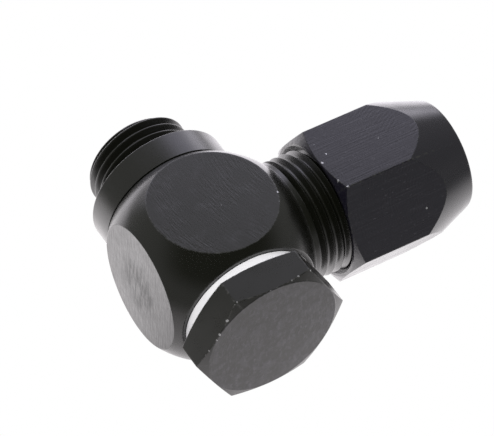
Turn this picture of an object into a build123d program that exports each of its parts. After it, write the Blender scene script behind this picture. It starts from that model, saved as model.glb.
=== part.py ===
from build123d import *

import os
from math import cos, pi, radians, sqrt, tan

# Swivel elbow compression fitting for hose, in black aluminium.
# A hollow hexagon bolt passes through a ball-shaped elbow and screws into a port.
# The hose is pushed over a barbed tail and gripped by a split ring under a long nut.
#
# Sizes are millimetres and degrees. The origin is the centre of the collar's seating face,
# where the port thread starts. +Y points along the thread into the port, +X along the hose,
# and +Z is normal to both. The elbow lies on its lower flat.

# Clearances
turn_gap = 0.05             # radial, bolt in elbow and nut on stub
slip_gap = 0.10             # radial, rings slipped over the bolt
face_gap = 0.05             # axial, faces that turn on each other
clamp_gap = 0.06            # between the clamp ring and the nut's inner cone

# Port thread, G 1/2, at its outer diameter
port_thread_d = 20.955
port_thread_depth = 1.28
port_thread_length = 8.9
port_thread_chamfer = 1.2
port_relief_length = 2.0

# Hollow bolt
head_wall = 2.9225          # from the washer's bore to the flats, for a 27 mm spanner
head_height = 6.65
head_face_inset = 0.15      # radial, from the flats to the round end face
head_chamfer_angle = 21.0
head_back_angle = 18.0      # the same towards the washer
shank_d = 20.9
port_bore_d = 13.0
port_bore_edge = 0.4
port_bore_past_centre = 5.0
drill_point_angle = 118.0
waist_wall = 2.4            # between the flow bore and the waist
waist_length = 14.0
cross_hole_d = 7.0
cross_hole_count = 4

# White washer under the head, as wide as its round face
washer_thickness = 1.7
washer_edge = 0.3

# Collar between elbow and port, with a seal in each face
collar_wall = 3.4225        # from the bolt's bore to the outside
collar_length = 6.0
collar_edge = 0.35
seal_width = 1.5
seal_thickness = 1.2
seal_edge = 0.15

# Elbow: a turned ball with round flats
ball_d = 39.0
body_width = 27.0           # between the flats that the washer and collar bear on
body_height = 30.5          # between the top and bottom flats
side_flat_x = 15.1          # from the bolt's axis to the flat opposite the hose
flat_edge = 0.2
bolt_bore_edge = 0.4

# Threaded stub, at the thread's outer diameter
stub_d = 24.0
stub_pitch = 1.75
stub_end_x = 32.0
stub_chamfer = 1.0
stub_sink = 1.0             # how deep inside the ball the stub starts

# Hose that the fitting takes, and the barbed tail inside it
hose_outer_d = 18.0
hose_inner_d = 13.0
hose_gap = 0.15             # radial, hose in the nut's end
tail_undersize = 0.1        # radial, tail inside the hose
tail_wall = 1.2
barb_height = 0.6
barb_count = 4
barb_pitch = 2.6
barb_lead = 0.65
barb_land = 0.5
tail_nose_length = 2.2
tail_tip_wall = 0.8
tail_bore_edge = 0.4

# Compression nut
nut_wall = 1.45             # between the thread bore and the flats
nut_face_x = 22.7
nut_length = 27.85
nut_face_inset = 0.1        # radial, from the flats to the round end face
nut_chamfer_angle = 30.0
nut_cone_angle = 20.0       # half angle of the long outer cone
nut_end_wall = 1.8
nut_end_round = 0.5
nut_lead_in = 0.8
hose_entry_length = 5.05
hose_entry_round = 0.8

# Split clamp ring
clamp_end_wall = 0.5        # what the ring's cone would leave at the nut's hose entry
clamp_end_room = 1.3        # between the ring and the nut's hose entry
clamp_cone_angle = 12.0
clamp_slit = 2.0
clamp_edge = 0.3
tooth_depth = 0.45
tooth_count = 4

# The nut's travel, in turns from where it stands
turns_in = 2
turns_out = 4
end_stop_gap = 0.1          # left between clamp ring and stub when the nut is home

# Places and sizes that follow
elbow_y = -(collar_length + face_gap + body_width / 2)
washer_y = elbow_y - body_width / 2 - face_gap
head_y = washer_y - washer_thickness
head_front_y = head_y - head_height
bolt_bore_d = max(shank_d, port_thread_d) + 2 * turn_gap
ring_bore_d = max(shank_d, port_thread_d) + 2 * slip_gap
head_across_flats = ring_bore_d + 2 * head_wall
washer_d = head_across_flats - 2 * head_face_inset
collar_d = ring_bore_d + 2 * collar_wall
seal_mid_d = (ring_bore_d + collar_d) / 2
seal_inner_d = seal_mid_d - seal_width
seal_outer_d = seal_mid_d + seal_width
seal_spans = [
    (-collar_length, seal_thickness - collar_length),
    (-seal_thickness, 0),
]
stub_start_x = sqrt(max(ball_d**2 - stub_d**2, 0)) / 2 - stub_sink
tail_d = hose_inner_d - 2 * tail_undersize
tail_bore_d = tail_d - 2 * tail_wall
tail_end_x = stub_end_x + barb_count * barb_pitch + tail_nose_length
nut_across_flats = stub_d + 2 * (turn_gap + nut_wall)
nut_end_x = nut_face_x + nut_length
hose_entry_d = hose_outer_d + 2 * hose_gap
entry_x = nut_end_x - hose_entry_length
shoulder_x = stub_end_x + turns_in * stub_pitch
clamp_x = shoulder_x + end_stop_gap
clamp_end_x = entry_x - clamp_end_room


def turned_x(points):
    """Revolves a closed outline of (x, radius) points about the hose axis."""
    outline = make_face(Polyline(*points, close=True))
    return Pos(0, elbow_y, 0) * revolve(outline, Axis.X)


def turned_y(points):
    """Revolves a closed outline of (y, radius) points about the bolt axis."""
    outline = make_face(Polyline(*[(radius, y) for y, radius in points], close=True))
    return revolve(outline, Axis.Y)


def cylinder_y(diameter, start, end):
    """A cylinder about the bolt axis from one y to another."""
    return Pos(0, (start + end) / 2, 0) * Rot(90, 0, 0) * Cylinder(diameter / 2, end - start)


def ring_y(outer_d, inner_d, start, end, edge):
    """A flat ring about the bolt axis with its four edges broken."""
    ring = cylinder_y(outer_d, start, end) - cylinder_y(inner_d, start, end)
    return chamfer(ring.edges().filter_by(GeomType.CIRCLE), edge)


def corner_radius(across_flats):
    """Half the width of a hexagon across its corners."""
    return across_flats / sqrt(3)


def hexagon_bar(across_flats, plane, length):
    """A hexagon bar with level flats, extruded along the plane's normal."""
    return extrude(plane * RegularPolygon(across_flats / 2, 6, major_radius=False), length)


def bolt_head():
    """Hexagon head whose corners are chamfered down to a round face at both ends."""
    corner = corner_radius(head_across_flats)
    face_r = head_across_flats / 2 - head_face_inset
    fall = (corner - face_r) * tan(radians(head_chamfer_angle))
    back_fall = (corner - face_r) * tan(radians(head_back_angle))
    blank = turned_y(
        [
            (head_front_y, 0),
            (head_front_y, face_r),
            (head_front_y + fall, corner),
            (head_y - back_fall, corner),
            (head_y, face_r),
            (head_y, 0),
        ]
    )
    front = Plane((0, head_front_y, 0), x_dir=(1, 0, 0), z_dir=(0, 1, 0))
    return blank & hexagon_bar(head_across_flats, front, head_height)


def bolt_stem():
    """Two guiding lands with a waist between them, a relief, and the port thread with its end chamfer."""
    shank_r = shank_d / 2
    waist_r = port_bore_d / 2 + waist_wall
    waist_fall = shank_r - waist_r
    waist_start = elbow_y - waist_length / 2
    waist_end = elbow_y + waist_length / 2
    thread_r = port_thread_d / 2
    relief_r = thread_r - port_thread_depth
    return turned_y(
        [
            (head_y, 0),
            (head_y, shank_r),
            (waist_start, shank_r),
            (waist_start + waist_fall, waist_r),
            (waist_end - waist_fall, waist_r),
            (waist_end, shank_r),
            (-port_relief_length - port_thread_depth - (shank_r - relief_r), shank_r),
            (-port_relief_length - port_thread_depth, relief_r),
            (-port_thread_depth, relief_r),
            (0, thread_r),
            (port_thread_length - port_thread_chamfer, thread_r),
            (port_thread_length, thread_r - port_thread_chamfer),
            (port_thread_length, 0),
        ]
    )


def banjo_bolt():
    """Head and stem, drilled up the middle from the thread and crossed by holes at the waist."""
    bore_r = port_bore_d / 2
    floor_y = elbow_y - port_bore_past_centre
    point_depth = bore_r / tan(radians(drill_point_angle / 2))
    flow_bore = turned_y(
        [
            (port_thread_length, 0),
            (port_thread_length, bore_r + port_bore_edge),
            (port_thread_length - port_bore_edge, bore_r),
            (floor_y, bore_r),
            (floor_y - point_depth, 0),
        ]
    )
    bolt = bolt_head() + bolt_stem() - flow_bore
    cross_hole = Pos(shank_d / 4, 0, 0) * Rot(0, 90, 0) * Cylinder(cross_hole_d / 2, shank_d / 2)
    for index in range(cross_hole_count):
        bolt -= Pos(0, elbow_y, 0) * Rot(0, index * 360 / cross_hole_count, 0) * cross_hole
    return bolt


def head_washer():
    """Plastic sealing washer between the bolt's head and the elbow."""
    return ring_y(washer_d, ring_bore_d, head_y, washer_y, washer_edge)


def seal(span):
    """Rubber ring of rectangular section that fills a groove in the collar."""
    return ring_y(seal_outer_d, seal_inner_d, *span, seal_edge)


def spacer_collar():
    """Round collar that lifts the elbow clear of the port, with a seal groove in each face."""
    collar = ring_y(collar_d, ring_bore_d, -collar_length, 0, collar_edge)
    for span in seal_spans:
        collar -= cylinder_y(seal_outer_d, *span) - cylinder_y(seal_inner_d, *span)
    return collar


def elbow_ball():
    """Ball with top, bottom, side, front and back flats, their edges lightly broken."""
    length = side_flat_x + ball_d / 2
    block = Pos(length / 2 - side_flat_x, elbow_y, 0) * Box(length, body_width, body_height)
    ball = Pos(0, elbow_y, 0) * Sphere(ball_d / 2) & block
    return chamfer(ball.faces().filter_by(GeomType.PLANE).edges(), flat_edge)


def stub_and_tail():
    """Stub as thick as its thread, from inside the ball to a chamfered end, then the barbed hose tail."""
    stub_r = stub_d / 2
    tail_r = tail_d / 2
    barb_r = tail_r + barb_height
    outline = [
        (stub_start_x, 0),
        (stub_start_x, stub_r),
        (stub_end_x - stub_chamfer, stub_r),
        (stub_end_x, stub_r - stub_chamfer),
        (stub_end_x, tail_r),
    ]
    for index in range(barb_count):
        start = stub_end_x + index * barb_pitch
        outline.append((start + barb_lead, tail_r))
        outline.append((start + barb_lead, barb_r))
        outline.append((start + barb_lead + barb_land, barb_r))
        outline.append((start + barb_pitch, tail_r))
    outline.append((tail_end_x, tail_bore_d / 2 + tail_tip_wall))
    outline.append((tail_end_x, 0))
    return turned_x(outline)


def swivel_body():
    """One-piece elbow: ball, bolt bore, threaded stub, barbed tail and hose bore."""
    hose_bore = turned_x(
        [
            (0, 0),
            (0, tail_bore_d / 2),
            (tail_end_x - tail_bore_edge, tail_bore_d / 2),
            (tail_end_x, tail_bore_d / 2 + tail_bore_edge),
            (tail_end_x, 0),
        ]
    )
    half_width = body_width / 2
    bolt_bore = turned_y(
        [
            (elbow_y - half_width, 0),
            (elbow_y - half_width, bolt_bore_d / 2 + bolt_bore_edge),
            (elbow_y - half_width + bolt_bore_edge, bolt_bore_d / 2),
            (elbow_y + half_width - bolt_bore_edge, bolt_bore_d / 2),
            (elbow_y + half_width, bolt_bore_d / 2 + bolt_bore_edge),
            (elbow_y + half_width, 0),
        ]
    )
    return elbow_ball() + stub_and_tail() - bolt_bore - hose_bore


def clamp_cone_radius(x):
    """Radius of the clamp ring's outer cone at x; it falls towards the nut's hose entry."""
    return hose_outer_d / 2 + slip_gap + clamp_end_wall + (entry_x - x) * tan(radians(clamp_cone_angle))


def nut_blank():
    """Hexagon bar turned to a chamfered face at one end and a long cone with a round rim at the other."""
    corner = corner_radius(nut_across_flats)
    face_r = nut_across_flats / 2 - nut_face_inset
    fall = (corner - face_r) * tan(radians(nut_chamfer_angle))
    end_r = hose_entry_d / 2 + nut_end_wall
    cone_length = (corner - end_r) / tan(radians(nut_cone_angle))
    blank = turned_x(
        [
            (nut_face_x, 0),
            (nut_face_x, face_r),
            (nut_face_x + fall, corner),
            (nut_end_x - cone_length, corner),
            (nut_end_x, end_r),
            (nut_end_x, 0),
        ]
    )
    rim = blank.edges().filter_by(GeomType.CIRCLE).sort_by(Axis.X)[-1:]
    front = Plane((nut_face_x, elbow_y, 0), x_dir=(0, 1, 0), z_dir=(1, 0, 0))
    return fillet(rim, nut_end_round) & hexagon_bar(nut_across_flats, front, nut_length)


def compression_nut():
    """Long nut with a thread bore, an inner cone that closes the clamp ring, and the hose entry."""
    thread_r = stub_d / 2 + turn_gap
    cone_gap = clamp_gap / cos(radians(clamp_cone_angle))
    hole = turned_x(
        [
            (nut_face_x, 0),
            (nut_face_x, thread_r + nut_lead_in),
            (nut_face_x + nut_lead_in, thread_r),
            (shoulder_x, thread_r),
            (clamp_x, clamp_cone_radius(clamp_x) + cone_gap),
            (entry_x, clamp_cone_radius(entry_x) + cone_gap),
            (entry_x, hose_entry_d / 2),
            (nut_end_x, hose_entry_d / 2),
            (nut_end_x, 0),
        ]
    )
    nut = nut_blank() - hole
    mouth = nut.edges().filter_by(GeomType.CIRCLE).group_by(Axis.X)[-1].sort_by(SortBy.RADIUS)[:1]
    return fillet(mouth, hose_entry_round)


def clamp_ring():
    """Split ring that the nut's inner cone presses onto the hose, with gripping teeth inside."""
    bore_r = hose_outer_d / 2 + slip_gap
    length = clamp_end_x - clamp_x
    tooth_length = (length - 2 * clamp_edge) / tooth_count
    outline = [
        (clamp_x, bore_r),
        (clamp_x, clamp_cone_radius(clamp_x) - clamp_edge),
        (clamp_x + clamp_edge, clamp_cone_radius(clamp_x + clamp_edge)),
        (clamp_end_x, clamp_cone_radius(clamp_end_x)),
        (clamp_end_x, bore_r),
    ]
    for index in range(tooth_count):
        tip_x = clamp_end_x - clamp_edge - index * tooth_length
        outline.append((tip_x, bore_r))
        outline.append((tip_x - tooth_length, bore_r + tooth_depth))
    slit = Pos((clamp_x + clamp_end_x) / 2, elbow_y, bore_r) * Box(2 * length, clamp_slit, bore_r)
    return turned_x(outline) - slit


nodes = {
    "banjo_bolt": banjo_bolt(),
    "head_washer": head_washer(),
    "swivel_body": swivel_body(),
    "body_seal": seal(seal_spans[0]),
    "spacer_collar": spacer_collar(),
    "port_seal": seal(seal_spans[1]),
    "clamp_ring": clamp_ring(),
    "compression_nut": compression_nut(),
}

os.makedirs("parts", exist_ok=True)
for name, piece in nodes.items():
    piece.label = name
    export_step(piece, f"parts/{name}.step")

print("port axis centre to seat", -elbow_y)
print("nut travel, in and out", -turns_in * stub_pitch, turns_out * stub_pitch)
print("metres of travel per radian of turn", stub_pitch / 1000 / (2 * pi))
print("hose entry: x, end x, diameter", entry_x, nut_end_x, hose_entry_d)
print("tail tip x and bore diameter", tail_end_x, tail_bore_d)
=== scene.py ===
# %% [markdown]
# # A black swivel elbow for hose
#
# The object is a small hose fitting in black anodised aluminium. A ball-shaped elbow turns on a
# hollow hexagon bolt, and a long coned nut clamps the hose on the elbow's other arm.
# The CAD model already has every piece in its place, so this script loads it as a frame and gives
# each piece the surface that the camera sees: threads, rounded edges, tool marks and worn corners.
# Sizes and places of the pieces are millimetres in the CAD model's own axes, and become metres
# when a mesh is written, because Blender's unit is the metre. Inside a shader a place is already
# in metres, so spans and centres that only a shader uses are given in metres.

# %% Load the frame
import math

import bmesh
import bpy
import numpy as np
from mathutils import Matrix, Vector


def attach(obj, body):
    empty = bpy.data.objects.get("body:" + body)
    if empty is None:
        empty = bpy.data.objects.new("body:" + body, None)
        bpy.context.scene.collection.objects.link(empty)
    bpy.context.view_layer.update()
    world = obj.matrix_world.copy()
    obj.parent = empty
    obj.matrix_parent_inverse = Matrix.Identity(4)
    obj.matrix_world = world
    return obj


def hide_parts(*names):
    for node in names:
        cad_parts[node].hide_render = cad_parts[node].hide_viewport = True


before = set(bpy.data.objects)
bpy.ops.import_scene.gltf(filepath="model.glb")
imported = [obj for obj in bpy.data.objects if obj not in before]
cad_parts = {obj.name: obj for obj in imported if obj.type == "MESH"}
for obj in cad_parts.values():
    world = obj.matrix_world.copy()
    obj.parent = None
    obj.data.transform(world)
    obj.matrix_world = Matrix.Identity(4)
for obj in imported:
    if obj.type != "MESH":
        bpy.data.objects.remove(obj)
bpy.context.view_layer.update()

# %% [markdown]
# ## The camera
#
# The photograph was taken with a long lens, from above and from the left of the bolt's head.
# A camera is a turn and a place. The turn is built from three unit vectors: where the camera's
# right side, its top and its back point. Its place is on the line of sight, moved a little
# sideways, so that the elbow's centre lands where the photograph shows it.
# The film is 36 mm wide, as Blender takes it, and the lens is the focal length in pixels times
# the film's width over the picture's width.

# %% Place the camera
elbow_y = -19.55
elbow_centre = np.array([0.0, elbow_y, 0.0])
picture_width = 494
film_width = 36.0
focal_pixels = 3943.94438
view_azimuth = -0.575572669
view_elevation = 0.860696445
view_roll = 0.0446520856
view_distance = 726.550005
slide_right = 6.63898881
slide_up = 7.02234486

back = np.array([
    math.sin(view_azimuth) * math.cos(view_elevation),
    -math.cos(view_azimuth) * math.cos(view_elevation),
    math.sin(view_elevation),
])
level_right = np.array([math.cos(view_azimuth), math.sin(view_azimuth), 0.0])
level_up = np.cross(back, level_right)
camera_right = math.cos(view_roll) * level_right + math.sin(view_roll) * level_up
camera_up = math.cos(view_roll) * level_up - math.sin(view_roll) * level_right
camera_place = elbow_centre + back * view_distance + camera_right * slide_right + camera_up * slide_up

camera = bpy.data.objects.new("camera", bpy.data.cameras.new("camera"))
bpy.context.scene.collection.objects.link(camera)
camera.data.sensor_width = film_width
camera.data.lens = focal_pixels * film_width / picture_width
camera.data.clip_start = 0.01
camera.data.clip_end = 10.0
turn = Matrix(np.column_stack([camera_right, camera_up, back]).tolist()).to_4x4()
camera.matrix_world = Matrix.Translation(Vector(camera_place / 1000)) @ turn
bpy.context.scene.camera = camera
print("camera at", np.round(camera_place, 1), "mm with a lens of", round(camera.data.lens, 1), "mm")

# %% [markdown]
# ## A small language for nodes
#
# A shader is a net of nodes, and in a script that net soon gets hard to read. So one small class
# stands for a value on its way between nodes. A sum, a product or 1 minus a value adds the Math
# node for it, and a single method adds any other node: its type, then its settings, then the
# values or links of its sockets. The room, the panel, the table and all finishes below use it.

# %% The class for node values
class Signal:
    """An output socket that can stand in an expression."""

    def __init__(self, tree, socket=None):
        self.tree = tree
        self.socket = socket

    def node(self, kind, settings=None, sockets=None, out=0):
        """Adds a shader node and returns one of its outputs, if it has any."""
        made = self.tree.nodes.new("ShaderNode" + kind)
        for name, value in (settings or {}).items():
            setattr(made, name, value)
        for name, value in (sockets or {}).items():
            if isinstance(value, Signal):
                self.tree.links.new(value.socket, made.inputs[name])
            else:
                made.inputs[name].default_value = value
        return Signal(self.tree, made.outputs[out] if made.outputs else None)

    def maths(self, operation, *others):
        """A Math node on this value and others."""
        return self.node("Math", {"operation": operation}, dict(enumerate((self, *others))))

    def vector(self, operation, *others):
        """A Vector Math node on this vector and others; some operations give a number."""
        out = 1 if operation in ("DOT_PRODUCT", "DISTANCE", "LENGTH") else 0
        return self.node("VectorMath", {"operation": operation}, dict(enumerate((self, *others))), out)

    def __add__(self, other):
        return self.maths("ADD", other)

    def __sub__(self, other):
        return self.maths("SUBTRACT", other)

    def __mul__(self, other):
        return self.maths("MULTIPLY", other)

    def __truediv__(self, other):
        return self.maths("DIVIDE", other)

    def __rsub__(self, other):
        return self.node("Math", {"operation": "SUBTRACT"}, {0: other, 1: self})

    def __rtruediv__(self, other):
        return self.node("Math", {"operation": "DIVIDE"}, {0: other, 1: self})

    __radd__ = __add__
    __rmul__ = __mul__

    def rise(self, low, high):
        """0 below low, 1 above high, and a smooth step between; high may be the lower one."""
        return self.node(
            "MapRange",
            {"interpolation_type": "SMOOTHSTEP"},
            {"Value": self, "From Min": low, "From Max": high},
        )

    def blend(self, first, second):
        """A colour between two, by this value."""
        return self.node("Mix", {"data_type": "RGBA"}, {0: self, 6: first, 7: second}, out=2)

    def axis(self, index):
        """One coordinate of a vector."""
        return self.node("SeparateXYZ", None, {0: self}, out=index)


print("a node value has the operators +, -, * and /")

# %% [markdown]
# ## The room
#
# Black anodised aluminium has almost no colour of its own: what the camera sees is the studio in
# its surface. The photograph's reflections tell where the light was. The room was dim, dimmest
# high up behind the camera. The ceiling's middle isn't mirrored by anything that the photograph
# shows, and is a little lighter here, so the fitting also looks right from straight above.
# The World shader can be that room: its colour depends only on the direction, it needs no lamp,
# and it gives smooth light without noise. The camera itself sees plain white behind the object,
# as the photograph does.

# %% The room's light
side_colour = (0.30, 0.30, 0.29, 1)
front_colour = (0.060, 0.062, 0.052, 1)
ceiling_colour = (0.50, 0.50, 0.51, 1)
white = (1, 1, 1, 1)
dimmest_azimuth = -170
dimmest_elevation = 45
dim_span = (0.20, 0.72)
horizon_span = (0.05, 0.42)
ceiling_span = (0.955, 0.985)


def direction(azimuth, elevation=0.0):
    """The unit vector at an azimuth from +Y towards +X and an elevation, both in degrees."""
    azimuth = math.radians(azimuth)
    elevation = math.radians(elevation)
    level = math.cos(elevation)
    return (math.sin(azimuth) * level, math.cos(azimuth) * level, math.sin(elevation))


world = bpy.data.worlds.new("studio")
bpy.context.scene.world = world
world.use_nodes = True
world.node_tree.nodes.clear()
room = Signal(world.node_tree)
look = room.node("TexCoord", out="Generated")
height = look.axis(2)
facing_front = look.vector("DOT_PRODUCT", direction(dimmest_azimuth, dimmest_elevation))
dim_front = facing_front.rise(*dim_span) * height.rise(*horizon_span)
room_colour = dim_front.blend(side_colour, front_colour)
room_colour = height.rise(*ceiling_span).blend(room_colour, ceiling_colour)
seen = room.node("LightPath", out="Is Camera Ray")
room_light = room.node("Background", None, {"Color": seen.blend(room_colour, white)})
room.node("OutputWorld", None, {"Surface": room_light})
bpy.context.scene.view_settings.view_transform = "Standard"
print("the room is dimmest at azimuth", dimmest_azimuth, "and", dimmest_elevation, "degrees up")

# %% [markdown]
# ## The light panel
#
# One large, slightly violet panel of cloth stood close behind the object on the right, lit from
# behind, and reached up from the table. It has to be a real sheet with a place. Seen from the
# bolt's head its upper edge is lower than seen from the nut, which is why the head's top flat is
# the darker one, and a light painted on the sky couldn't show that.
# The sheet is a plane that glows. It is brightest in a low band on the right, dim along its
# foot, even higher up, and fades softly at its three free edges. The camera doesn't see it, only
# the fitting does. It is stage, as the table is.

# %% Hang the panel
table_height = -15.25
panel_azimuth = 34
panel_distance = 170.0
panel_left = -320.0
panel_right = 118.0
panel_top = 222.0
panel_fade = 0.050
panel_left_fade = 0.120
glow_across = (-0.02, 0.06)
glow_up = (0.008, 0.030)
glow_end = (0.045, 0.10)
panel_foot_colour = (0.66, 0.64, 0.68, 1)
panel_low_colour = (3.10, 3.00, 3.32, 1)
panel_high_colour = (1.33, 1.30, 1.55, 1)
towards_panel = np.array(direction(panel_azimuth))
along_panel = np.array(direction(panel_azimuth + 90))


def new_finish(name):
    """An empty material, the start of its nodes, and the place on the piece in metres."""
    finish = bpy.data.materials.new(name)
    finish.use_nodes = True
    finish.node_tree.nodes.clear()
    start = Signal(finish.node_tree)
    return finish, start, start.node("TexCoord", out="Object")


def glowing(name, corners, colour):
    """A flat stage piece with corners in mm that gives light: colour(place) is its light's colour."""
    mesh = bpy.data.meshes.new(name)
    mesh.from_pydata((np.array(corners) / 1000).tolist(), [], [tuple(range(len(corners)))])
    finish, start, place = new_finish(name)
    shine = start.node("Emission", None, {"Color": colour(place)})
    start.node("OutputMaterial", None, {"Surface": shine})
    mesh.materials.append(finish)
    made = bpy.data.objects.new(name, mesh)
    bpy.context.scene.collection.objects.link(made)
    return made


def panel_light(place):
    """Foot, low and high colour by place, and the room's own colour at the free edges."""
    across = place.vector("DOT_PRODUCT", tuple(along_panel))
    up = place.axis(2)
    body = (
        across.rise(panel_left / 1000, panel_left / 1000 + panel_left_fade)
        * across.rise(panel_right / 1000, panel_right / 1000 - panel_fade)
        * up.rise(panel_top / 1000, panel_top / 1000 - panel_fade)
    )
    band = across.rise(*glow_across) * up.rise(*glow_up)
    low_glow = band.blend(panel_foot_colour, panel_low_colour)
    return body.blend(side_colour, up.rise(*glow_end).blend(low_glow, panel_high_colour))


foot = towards_panel * panel_distance
panel = glowing(
    "panel",
    [
        foot + along_panel * panel_left + (0, 0, table_height),
        foot + along_panel * panel_right + (0, 0, table_height),
        foot + along_panel * panel_right + (0, 0, panel_top),
        foot + along_panel * panel_left + (0, 0, panel_top),
    ],
    panel_light,
)
panel.visible_camera = False
print("the panel hangs", panel_distance, "mm away and is", panel_right - panel_left, "mm wide")

# %% [markdown]
# ## The table
#
# The fitting lies on its lower flat on a white table. The table is so brightly lit that the
# photograph shows it as pure white without a shadow. So the camera looks through it at the
# room's plain white, which gives the same picture, and also shows the elbow whole when it swings
# down past the table. In the fitting's reflections the table is a flat stage piece with a place,
# and its glow is painted light: a painted pool of light round the fitting, a brighter one before
# the panel, and painted shade where it stretches away towards the camera.

# %% The table
table_reach = 3000.0
pool_centre = (0.002, -0.016, 0)
pool_span = (0.020, 0.135)
behind_azimuth = 30
behind_span = (-0.040, -0.012)
foot_span = (0.0, 0.07)
foot_width = (0.17, 0.06)
# The table's glow colours are painted light near the fitting and at the panel's foot, and painted shade
# far away.
table_painted_light_front = (1.00, 0.96, 0.98, 1)
table_painted_light_near = (2.15, 2.08, 2.12, 1)
table_painted_shade_far = (0.22, 0.22, 0.21, 1)
table_painted_light_at_panel = (2.40, 2.31, 2.45, 1)


def table_light(place):
    """Painted light on the table: a near glow round the fitting, a front glow before it, painted
    shade far away from it, and a painted pool of light at the panel's foot.
    """
    level = place.vector("MULTIPLY", (1, 1, 0))
    away = level.vector("DISTANCE", pool_centre)
    behind = level.vector("DOT_PRODUCT", direction(behind_azimuth))
    to_panel = level.vector("DOT_PRODUCT", tuple(towards_panel))
    across = level.vector("DOT_PRODUCT", tuple(along_panel))
    before_panel = to_panel.rise(*foot_span) * across.maths("ABSOLUTE").rise(*foot_width)
    light = behind.rise(*behind_span).blend(table_painted_light_front, table_painted_light_near)
    light = away.rise(*pool_span).blend(light, table_painted_shade_far)
    return before_panel.blend(light, table_painted_light_at_panel)


square = table_reach * np.array([(-1, -1), (1, -1), (1, 1), (-1, 1)])
table = glowing("table", np.column_stack([square, np.full(4, table_height)]), table_light)
table.visible_camera = False
print("table at", table_height, "mm")

# %% [markdown]
# ## A lamp for the matt pieces
#
# The white washer is far brighter in the photograph than the room and the panel make it. It is
# matt, so it gathers light from the whole upper room, while the black skin only mirrors a few
# places of it. A wide, soft sun that the mirror-like surfaces don't see adds that light without
# a new reflection on the black pieces.

# %% The soft lamp
lamp_strength = 2.8
lamp_width = 50
lamp_from = (-0.35, -0.25, 0.9)
lamp = bpy.data.objects.new("soft_lamp", bpy.data.lights.new("soft_lamp", "SUN"))
bpy.context.scene.collection.objects.link(lamp)
lamp.data.energy = lamp_strength
lamp.data.angle = math.radians(lamp_width)
lamp.rotation_euler = Vector(lamp_from).to_track_quat("Z", "Y").to_euler()
lamp.visible_glossy = False
print("the lamp adds", lamp_strength, "watts per square metre")

# %% [markdown]
# ## Going round an axis
#
# Nearly everything here was made on a lathe, so its surface is a radius that depends on how far
# along the axis and how far round it a point is. The fitting has two axes, the bolt's and the
# hose's. One function turns (along, radius, angle) into (x, y, z) for either of them.
# The angle grows in the direction a right-hand screw turns when it moves along the axis, so a
# right-hand thread is simply a line that climbs as the angle grows.

# %% Points round the two axes
full_turn = 2 * math.pi


def around_bolt(along, radius, angle):
    """x = radius sin(angle), y = along, z = radius cos(angle): the angle starts at the top."""
    along, radius, angle = np.broadcast_arrays(along, radius, angle)
    return np.stack([radius * np.sin(angle), along, radius * np.cos(angle)], axis=-1)


def around_hose(along, radius, angle):
    """x = along, y = axis + radius cos(angle), z = radius sin(angle): it starts at the port's side."""
    along, radius, angle = np.broadcast_arrays(along, radius, angle)
    return np.stack([along, elbow_y + radius * np.cos(angle), radius * np.sin(angle)], axis=-1)


print("the bolt's axis is y and the hose's lies at y", elbow_y)

# %% [markdown]
# ## Edges that catch the light
#
# No machined edge is perfectly sharp. A turned corner is broken by a few tenths of a millimetre,
# and that narrow round is what shines as a thin line. A Bevel modifier could make it, but on a
# grid it is just as easy to put the round into the profile before it is turned.
# Each corner of a profile becomes a short arc, with one more point on each side a little way
# outside it. Those extra points hold the flats flat, so the shading bends only in the round.
# Every point also carries a number, 1 on a round and 0 beside it, which the materials use later
# to wear the black off along the edges.

# %% Rounding a profile's corners
arc_steps = np.linspace(0.0, 1.0, 5)
hold_share = 0.6
edge_share = 0.45


def rounded(corners, radius, closed=False):
    """A profile of (along, radius) corners with each corner rounded, as (along, radius, edge) rows.

    Between the touching points A and B of a corner P the curve is the exact arc
    ((1-s)^2 A + 2ws(1-s) P + s^2 B) / ((1-s)^2 + 2ws(1-s) + s^2),
    where w is the sine of half the corner's angle. The touching points lie
    radius / tan(half the angle) from P, or less on a short side.
    """
    corners = np.asarray(corners, dtype=float)
    radius = np.broadcast_to(np.asarray(radius, dtype=float), corners.shape[:-1])
    to_last = np.roll(corners, 1, axis=-2) - corners
    to_next = np.roll(corners, -1, axis=-2) - corners
    last_length = np.linalg.norm(to_last, axis=-1)
    next_length = np.linalg.norm(to_next, axis=-1)
    to_last = to_last / last_length[..., None]
    to_next = to_next / next_length[..., None]
    half = np.arccos(np.clip((to_last * to_next).sum(-1), -1, 1)) / 2
    reach = radius / np.tan(np.maximum(half, 1e-3))
    inner = np.ones(corners.shape[-2])
    if not closed:
        inner[[0, -1]] = 0
    reach = inner * np.minimum(reach, edge_share * np.minimum(last_length, next_length))
    hold = inner * hold_share * radius
    hold_last = np.minimum(hold, edge_share * last_length - reach)
    hold_next = np.minimum(hold, edge_share * next_length - reach)
    s = arc_steps[:, None]
    weight = np.sin(half)[..., None, None]
    point = corners[..., None, :]
    start = point + (reach[..., None] * to_last)[..., None, :]
    end = point + (reach[..., None] * to_next)[..., None, :]
    below = (1 - s) ** 2 + 2 * weight * s * (1 - s) + s**2
    arc = ((1 - s) ** 2 * start + 2 * weight * s * (1 - s) * point + s**2 * end) / below
    first = point + ((reach + hold_last)[..., None] * to_last)[..., None, :]
    final = point + ((reach + hold_next)[..., None] * to_next)[..., None, :]
    rows = np.concatenate([first, arc, final], axis=-2)
    edge = np.zeros(rows.shape[:-1] + (1,))
    edge[..., 1:-1, 0] = (radius > 0)[..., None]
    rows = np.concatenate([rows, edge], axis=-1)
    rows = rows.reshape(rows.shape[:-3] + (-1, 3))
    return np.concatenate([rows, rows[..., :1, :]], axis=-2) if closed else rows


print("each rounded corner takes", len(arc_steps) + 2, "rows")

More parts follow.
